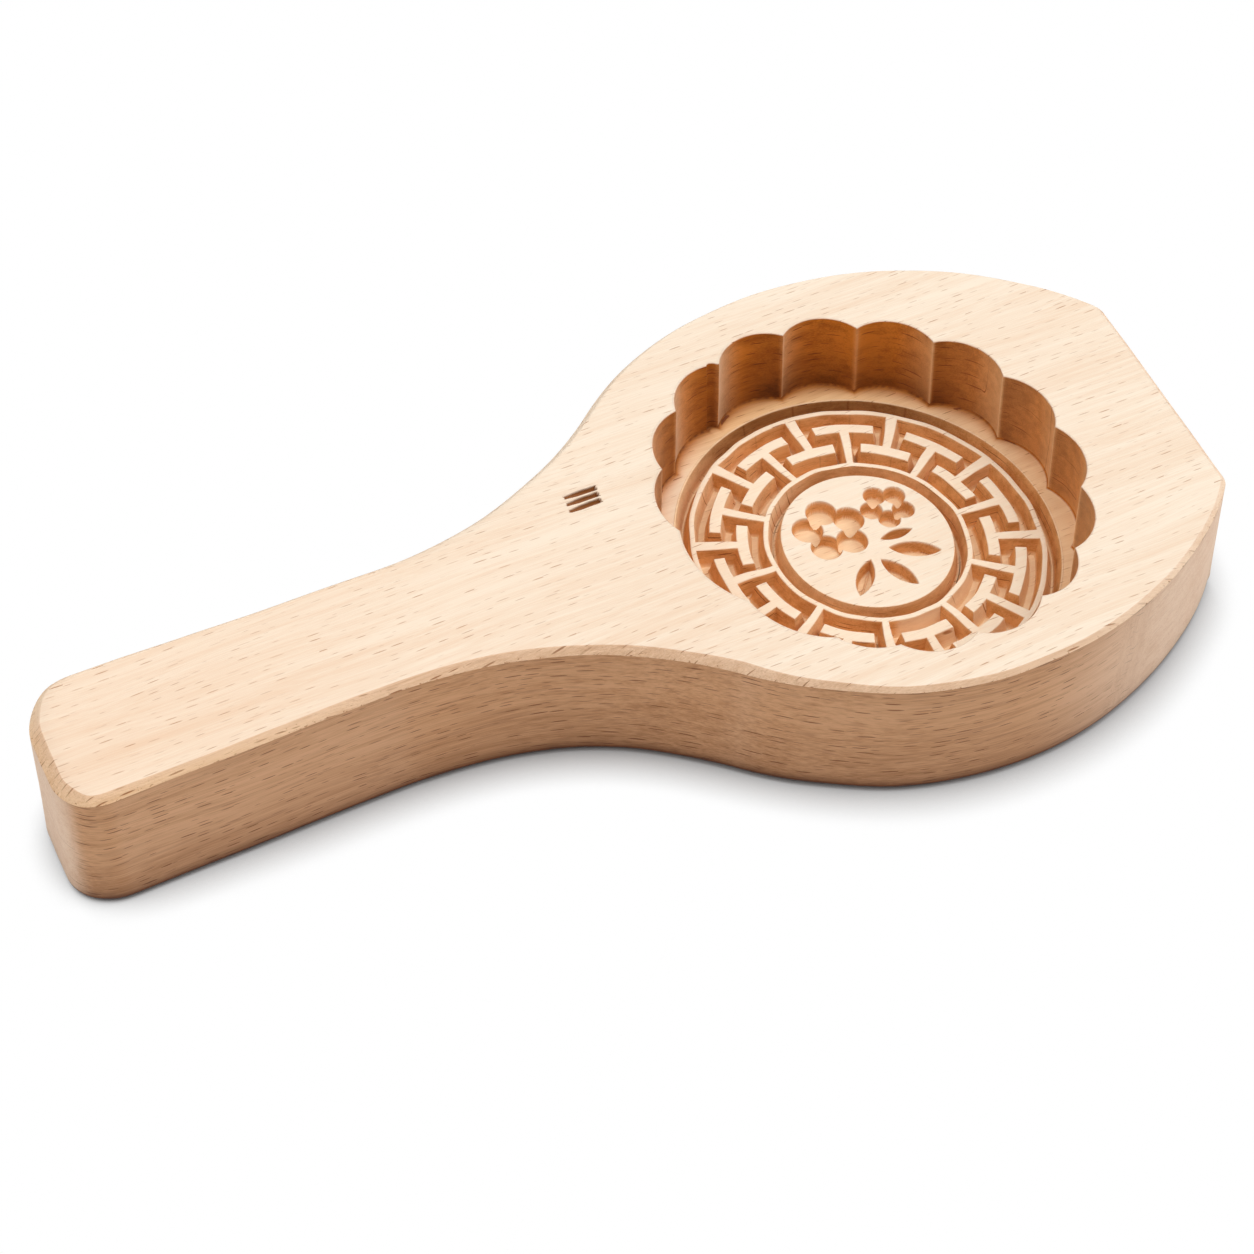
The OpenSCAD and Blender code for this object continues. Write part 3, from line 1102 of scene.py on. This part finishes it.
@dataclass
class FretRing(CarvedPiece):
    """The carved ring: lip, groove, two rims with ten T shapes on each, inner groove's wall.

    Attributes:
        inner_bar, outer_bar: Where the bars on the inner and the outer rim's stems start and end.
        stem_half, bar_half: Half widths of stems and bars, as angles.
        draft, groove_draft: Widths that the sloping walls take.
        sway: How far the hand-cut pattern wanders.
        checks, check_half: Directions of the drying checks in degrees, and their half width.
    """

    cut: HandCut = HandCut()
    level: Levels = Levels()
    count: int = 10
    phase: float = math.radians(1.7)
    lip_r: float = 38.5
    lip_w: float = 0.3
    rim_out: float = 35.4
    rim_in: float = 34.4
    inner_bar: Pair = (29.2, 31.4)
    outer_bar: Pair = (23.8, 26.1)
    ring_out: float = 20.7
    ring_in: float = 19.7
    foot_r: float = 18.65
    stem_half: float = math.radians(1.9)
    bar_half: float = math.radians(11.7)
    draft: float = 0.85
    groove_draft: float = 1.15
    sway: float = 0.13
    check_half: float = 0.07
    checks: tuple[float, ...] = (70.1, 88.1, 106.1, 52.1)

    def raised(self, r: Measure, at: Array) -> Array:
        """Signed distance from the raised pattern, negative on it.

        The pattern is a union of ring sectors. Outside a sector the distance is that to its
        nearest edge or corner; inside, minus the distance to the nearest edge.

        Args:
            r: Distances from the centre.
            at: Directions in radians, before the pattern's phase is added.

        Returns:
            One distance per place.
        """
        step = FULL / self.count
        fold = (at + 0.5 * step) % step - 0.5 * step
        other = (at + step) % step - 0.5 * step
        everywhere = 9.0
        sectors = [
            (self.rim_in, self.rim_out, fold, everywhere),
            (self.ring_in, self.ring_out, fold, everywhere),
            (self.lip_r - self.lip_w, self.lip_r + 20.0, fold, everywhere),
            (self.ring_in, self.inner_bar[1], fold, self.stem_half),
            (*self.inner_bar, fold, self.bar_half),
            (self.outer_bar[0], self.rim_out, other, self.stem_half),
            (*self.outer_bar, other, self.bar_half),
        ]
        found = np.full(np.broadcast(r, at).shape, 99.0)
        for low, high, turn, half in sectors:
            q_r = np.abs(r - 0.5 * (low + high)) - 0.5 * (high - low)
            q_t = r * (np.abs(turn) - half)
            outside = (np.maximum(q_r, 0.0) ** 3 + np.maximum(q_t, 0.0) ** 3) ** (1.0 / 3.0)
            found = np.minimum(found, outside + np.minimum(np.maximum(q_r, q_t), 0.0))
        return found

    def _angles(self) -> Array:
        """Columns that lie on every stem's and bar's edge and crowd toward it.

        Returns:
            Directions in radians, before the pattern's phase is added.
        """
        step = math.pi / self.count
        edges = [0.0, self.stem_half, step - self.bar_half, self.bar_half,
                 step - self.stem_half, step]
        half_step = crowd(edges, [4, 12, 14, 12, 4])
        return np.concatenate([half_step + step * k for k in range(2 * self.count)])

    def _radii(self) -> Array:
        """Rows that lie on every circular edge and crowd toward it.

        Returns:
            Distances from the centre.
        """
        edges = [self.ring_in, self.ring_out, *self.outer_bar, *self.inner_bar, self.rim_in,
                 self.rim_out, self.lip_r - self.lip_w, self.lip_r]
        return crowd(edges, [4, 13, 8, 13, 8, 13, 4, 13, 2])

    def skin(self) -> Skin:
        """Rows across the carved face from the inner groove to the lip, then round under the plate.

        Returns:
            The closed surface.
        """
        lv = self.level
        at = self._angles()
        turn = at + self.phase
        cos, sin = np.cos(turn), np.sin(turn)
        skin = Skin(Closing.LOOP)
        depth = lv.ledge - lv.plate

        def put(r: float, z: Measure, **marks: Measure) -> None:
            """Adds a row, turned to the pattern's phase and cut by hand.

            Args:
                r: Radius of the row.
                z: Height of the row, or of each of its points.
                marks: Zone values by the zone's name.
            """
            flat = round_points(r, turn)
            calm = 1.0 - smooth(r, 35.0, 38.4)
            sway = np.column_stack([ripple(flat[:, 0], flat[:, 1], 9.0, 51 + k) for k in (0, 1)])
            skin.add(self.cut.floor(flat + self.sway * calm * sway), z, **marks)

        def crack(r: float) -> Array:
            """Thin drying checks: 1 on a check's direction, gone within a tenth of a millimetre."""
            apart = from_way(turn[:, None], np.radians(np.array(self.checks)))
            return np.exp(-(apart * r / self.check_half) ** 2).max(1)

        # dark_side: painted shade on walls toward the far and near sides
        dark_side = 1.0 - smooth(np.abs(cos), 0.2, 0.8)
        put(self.foot_r, lv.seat, carve=1.0)
        put(self.foot_r, lv.plate, floor=1.0, carve=0.5 * dark_side, deep=0.4 * dark_side)
        # inner groove's wall: paler on the left as painted light, painted shade toward its foot
        for share in (0.03, 0.25, 0.5, 0.75, 0.95, 0.99):
            put(self.ring_in - 0.8 * (1.0 - share), lv.plate + depth * share, floor=1.0,
                carve=0.85 - 0.55 * smooth(-cos, 0.1, 0.8),
                deep=0.3 * (1.0 - share) ** 2 * dark_side)
        # moat: painted shade in the outer groove, less to the right, more toward the far side
        moat = 0.46 - 0.42 * smooth(cos, 0.5, 0.95) + 0.28 * smooth(sin, 0.3, 0.8)
        for r in self._radii():
            inside = self.raised(r, at)
            draft = self.draft if r < self.rim_out else self.groove_draft
            fall = depth - drop_left(inside, depth, draft, 0.03, 0.12)
            cut_in = smooth(inside, -0.03, 0.06)
            wall = cut_in * (1.0 - 0.9 * smooth(fall, depth - 0.4, depth - 0.06))
            groove = wall * smooth(r, 36.8, 37.4)
            lip = float(r > self.lip_r - self.lip_w - 0.05)
            # painted light: walls that face the lamps, found a step aside, get less of the cut tone
            # and of the groove's shade
            x, y = r * cos, r * sin
            lower_right = 0.8 * x - y
            open_side = smooth(lower_right, 0.0, 30.0)
            tilt = 0.9 * smooth(lower_right, 12.0, 24.0) * (1.0 - smooth(x, 4.0, 9.0))
            tilt = tilt * float(r < 26.0)
            aside, below = x + 0.1 * np.cos(tilt), y - 0.1 * np.sin(tilt)
            beside = self.raised(np.hypot(aside, below), np.arctan2(below, aside) - self.phase)
            rising = (beside - inside) / 0.1 + 0.28 * open_side
            sunny = smooth(rising, 0.25, 0.95 - 0.45 * open_side)
            # cut tone and groove shade hold painted light and painted shade; the checks are the
            # wood's own
            put(r, lv.ledge - fall, floor=np.maximum(cut_in, lip),
                carve=np.maximum(wall * (1.0 - (0.5 + 0.3 * open_side) * sunny), 0.2 * lip),
                deep=moat * groove * (1.0 - sunny) + 0.3 * crack(r) * wall)
        put(self.lip_r, lv.ledge - 0.01, floor=1.0, carve=0.2)
        put(self.lip_r, lv.seat, carve=1.0)
        return skin


def drop_left(inside: Array, depth: float, draft: float, edge_w: float, floor_w: float) -> Array:
    """Height that is left above a cut's floor at a signed distance inside the cut's edge.

    The wall falls in a straight slope; the edge at its top and the corner at its foot are rounded
    by soft maxima of the given widths.

    Args:
        inside: Distance from the edge, positive inside the cut.
        depth: Full depth of the cut.
        draft: Width that the sloping wall takes.
        edge_w: Softness of the top edge, along the distance.
        floor_w: Softness of the foot, along the height.

    Returns:
        Height above the floor, from the full depth down to 0.
    """
    slope = depth / draft
    fall = slope * edge_w * np.logaddexp(0.0, inside / edge_w)
    return floor_w * np.logaddexp(0.0, (depth - fall) / floor_w)


@dataclass
class Medallion(CarvedPiece):
    """The round middle of the floor: foot, sloping rim, and face with carved blossoms and leaves."""

    cut: HandCut = HandCut()
    level: Levels = Levels()
    face_r: float = 17.2
    foot_r: float = 18.55
    carve_r: float = 15.8
    carve_d: float = 3.0
    draft: float = 0.5
    crease_h: float = 0.5
    crease_w: float = 0.2
    rim_run: float = 0.85
    columns: int = 640
    face_rows: int = 108

    @staticmethod
    def leaf(p: Array, root: Pair, turn: float,
             length: float, width: float) -> tuple[Array, Array]:
        """A pointed leaf, the overlap of two equal circles.

        Args:
            p: Places.
            root: Where the leaf starts.
            turn: Its direction in degrees.
            length, width: Its size.

        Returns:
            The signed distance from its edge, and the distance from its middle line.
        """
        arc_r = (length * length + width * width) / (4.0 * width)
        a = math.radians(turn)
        off = p - np.array(root)
        s = off[..., 0] * math.cos(a) + off[..., 1] * math.sin(a) - 0.5 * length
        c = off[..., 1] * math.cos(a) - off[..., 0] * math.sin(a)
        return np.hypot(s, np.abs(c) + arc_r - 0.5 * width) - arc_r, np.abs(c)

    @staticmethod
    def blossom(p: Array, middle: Pair, turn: float, reach: float) -> tuple[Array, Array]:
        """Five round petals about a plain eye.

        Args:
            p: Places.
            middle: Centre of the eye.
            turn: Direction of the first petal, in degrees from +Y.
            reach: Distance from the centre to a petal's tip.

        Returns:
            The signed distance from the petals' edge, and a distance that leaves out the rib.
        """
        petal_r = 0.40 * reach
        off = p - np.array(middle)
        at = np.radians(90.0 + turn + 72.0 * np.arange(5))
        way = np.column_stack([np.cos(at), np.sin(at)])
        apart = np.linalg.norm(off[..., None, :] - (reach - petal_r) * way, axis=-1)
        petals = apart.min(-1) - petal_r
        eye = 0.19 * reach - np.linalg.norm(off, axis=-1)
        return np.maximum(petals, eye), np.full_like(petals, 9.0)

    def carving(self, p: Array) -> tuple[Array, Array]:
        """The whole carving, two blossoms and four leaves.

        Args:
            p: Places.

        Returns:
            The signed distance, negative in the carving, and the distance from the nearest shape's
            middle line.
        """
        c = self.carve_r
        shapes = [
            self.blossom(p, (-0.36 * c, 0.30 * c), 0.0, 0.50 * c),
            self.blossom(p, (0.48 * c, 0.44 * c), 20.0, 0.36 * c),
            self.leaf(p, (-0.10 * c, -0.30 * c), -128.0, 0.62 * c, 0.22 * c),
            self.leaf(p, (0.02 * c, -0.34 * c), -62.0, 0.58 * c, 0.22 * c),
            self.leaf(p, (0.20 * c, -0.20 * c), -22.0, 0.66 * c, 0.24 * c),
            self.leaf(p, (0.16 * c, -0.04 * c), 4.0, 0.46 * c, 0.14 * c),
        ]
        edges = np.stack([edge for edge, _ in shapes])
        lines = np.stack([line for _, line in shapes])
        nearest = edges.argmin(0)[None]
        return np.take_along_axis(edges, nearest, 0)[0], np.take_along_axis(lines, nearest, 0)[0]

    def skin(self) -> Skin:
        """Rows from the middle of the face to its rim, down the groove's wall and under the foot.

        Returns:
            The closed surface.
        """
        lv = self.level
        at = FULL * np.arange(self.columns) / self.columns
        skin = Skin(Closing.POLES)
        depth = lv.ledge - lv.plate
        for r in np.linspace(0.0, self.face_r - 0.15, self.face_rows):
            flat = round_points(r, at)
            edge, line = self.carving(flat)
            fall = self.carve_d - drop_left(-edge, self.carve_d, self.draft, 0.04, 0.14)
            bare = smooth(fall, self.carve_d - 0.45, self.carve_d - 0.06)
            rise = self.crease_h * np.exp(-(line / self.crease_w) ** 2) * smooth(-edge, 0.35, 0.9)
            wall = smooth(-edge, -0.04, 0.08) * (1.0 - 0.85 * bare)
            skin.add(self.cut.floor(flat), lv.ledge - fall + rise, carve=wall, floor=bare)
        # dark_side: painted shade on the rim and foot toward the far and near sides; the rim's cut
        # tone eases to the left and right as painted light
        dark_side = 1.0 - smooth(np.abs(np.cos(at)), 0.2, 0.8)
        for share in (0.0, 0.03, 0.25, 0.5, 0.75, 1.0):
            xy = self.cut.floor(round_points(self.face_r + self.rim_run * share, at))
            cut = (0.3 + 0.7 * min(1.0, share * 20.0)) * (1.0 - 0.3 * np.abs(np.cos(at)))
            skin.add(xy, lv.ledge - 0.05 - (depth - 0.05) * share, floor=1.0, carve=cut,
                     deep=0.3 * share * share * dark_side)
        for z in (lv.plate, lv.seat):
            skin.add(self.cut.floor(round_points(self.foot_r, at)), z, floor=1.0,
                     carve=0.5 * dark_side, deep=0.4 * dark_side)
        skin.add(self.cut.floor(round_points(0.0, at)), lv.seat)
        return skin


@dataclass(frozen=True)
class SoftSun:
    """A wide, even lamp far away: where it stands, how wide it looks and how bright it is."""

    name: str
    azimuth: float
    elevation: float
    width: float
    share: float


@dataclass(frozen=True)
class Studio:
    """Floor, lamps and camera. Azimuths turn counterclockwise from +X, in degrees."""

    suns: tuple[SoftSun, ...] = (
        SoftSun("overhead_soft", -80.0, 82.0, 80.0, 0.53),
        SoftSun("right_soft", -10.0, 42.0, 50.0, 0.40),
        SoftSun("left_soft", 172.0, 36.0, 50.0, 0.24),
    )
    ambient: float = 0.11
    floor_bounce: float = 0.70
    # darker than floor_bounce and seen only near the board: painted shade
    floor_shade: float = 0.44
    shade_reach: float = 14.0
    floor_half: float = 3.0
    floor_z: float = -0.05 * MM
    look_at: Triple = (-56.78, -18.84, 30.0)
    azimuth: float = -110.714
    elevation: float = 49.05
    distance: float = 487.12
    sensor: float = 36.0
    lens: float = 36.0 * 2688.0 / 1254.0

    @staticmethod
    def toward(azimuth: float, elevation: float) -> Vector:
        """Unit vector from the object toward a place in the sky."""
        a, e = math.radians(azimuth), math.radians(elevation)
        return Vector((math.cos(a) * math.cos(e), math.sin(a) * math.cos(e), math.sin(e)))

    def floor(self) -> bpy.types.Object:
        """A pale plane just under the board, white to the camera but for the board's close shadow.

        How open the sky is within the shade's reach blends from the plain lit floor to white; the
        shade is a little stronger beside the head and weaker past both ends. Within that reach the
        camera sees a darker grey than the floor that lights the board: partly real shadow, partly
        painted shade.

        Returns:
            The plane.
        """
        h, z = self.floor_half, self.floor_z
        mesh = bpy.data.meshes.new("floor")
        mesh.from_pydata([(-h, -h, z), (h, -h, z), (h, h, z), (-h, h, z)], [], [(0, 1, 2, 3)])
        made = bpy.data.materials.new("pale_floor")
        tree = Tree(made)
        reach = {"Distance": self.shade_reach * MM}
        sky = tree.node("ShaderNodeAmbientOcclusion", {"samples": 24}, reach)["AO"]
        place = tree.node("ShaderNodeTexCoord", {}, {})["Object"]
        x = tree.node("ShaderNodeSeparateXYZ", {}, {"Vector": place})["X"] / MM
        toward_head = ((x + 60.0) / 120.0).clamp()
        past_handle = ((-120.0 - x) / 45.0).clamp()
        past_nose = ((x - 40.0) / 40.0).clamp()
        clear = sky - 0.42 - toward_head * 0.03 + past_handle * 0.09 + past_nose * 0.08
        # the darker grey near the board is painted shade over the real shadow
        shade, bounce = (
            tree.node("ShaderNodeBsdfDiffuse", {}, {"Color": rgba((level,) * 3)})["BSDF"]
            for level in (self.floor_shade, self.floor_bounce))
        full = {"Color": rgba(WHITE), "Strength": 1.0}
        white = tree.node("ShaderNodeEmission", {}, full)["Emission"]
        pale = tree.fade((clear * 2.4).clamp(), shade, white)
        tree.node("ShaderNodeOutputMaterial", {}, {"Surface": tree.fade(tree.seen(), bounce, pale)})
        mesh.materials.append(made)
        plane = linked("floor", mesh)
        return plane

    def world(self) -> None:
        """Even light from all round, white where the camera sees it."""
        made = bpy.data.worlds.new("studio")
        tree = Tree(made)
        white, dim = (
            tree.node("ShaderNodeBackground", {}, {
                "Color": rgba(WHITE), "Strength": level})["Background"]
            for level in (1.0, self.ambient))
        tree.node("ShaderNodeOutputWorld", {}, {"Surface": tree.fade(tree.seen(), dim, white)})
        bpy.context.scene.world = made

    def lamps(self) -> None:
        """The soft suns. A share of 1 lights a face square to the lamp as a white sky would."""
        for sun in self.suns:
            lamp = bpy.data.lights.new(sun.name, "SUN")
            lamp.energy = math.pi * sun.share
            lamp.angle = math.radians(sun.width)
            made = linked(sun.name, lamp)
            made.rotation_mode = "QUATERNION"
            back = self.toward(sun.azimuth, sun.elevation)
            made.rotation_quaternion = back.to_track_quat("Z", "Y")

    def camera(self) -> None:
        """The camera at the photographed angle, level and without shift."""
        lens = bpy.data.cameras.new("photo_camera")
        lens.lens = self.lens
        lens.sensor_width = self.sensor
        lens.clip_start, lens.clip_end = 0.01, 20.0
        back = self.toward(self.azimuth, self.elevation)
        made = linked("photo_camera", lens)
        made.rotation_mode = "QUATERNION"
        made.rotation_quaternion = back.to_track_quat("Z", "Y")
        made.location = (Vector(self.look_at) + back * self.distance) * MM
        bpy.context.scene.camera = made

    def set_up(self) -> None:
        """Makes floor, world, lamps and camera."""
        self.floor()
        self.world()
        self.lamps()
        self.camera()
        bpy.context.scene.view_settings.view_transform = "Standard"


def main() -> None:
    """Builds the pieces in order, sets the studio round them and notes the sizes."""
    logging.basicConfig(level=logging.INFO, format="%(name)s %(message)s")
    plain = BeechFinish("board_beech")
    # the carved finish's cut and deep tones are partly painted shade
    carved = BeechFinish("carved_beech", face=Tone((0.955, 0.84, 0.68), (0.93, 0.745, 0.56)),
                         cut=Tone((0.81, 0.405, 0.152), (0.59, 0.245, 0.066)),
                         floor=Tone((0.98, 0.76, 0.50), (0.90, 0.63, 0.38)),
                         deep=Tone((0.23, 0.076, 0.012), (0.132, 0.039, 0.005)))
    warm = replace(carved, name="fret_beech", face=Tone((0.985, 0.835, 0.645), (0.95, 0.745, 0.54)))
    MoldBoard("mold_board", "board_shell", "board_beech", plain).make()
    FretRing("fret_ring", "fret_carving", "carved_beech", warm).make()
    Medallion("medallion", "medallion_carving", "carved_beech", carved).make()
    Studio().set_up()


if __name__ == "__main__":
    main()
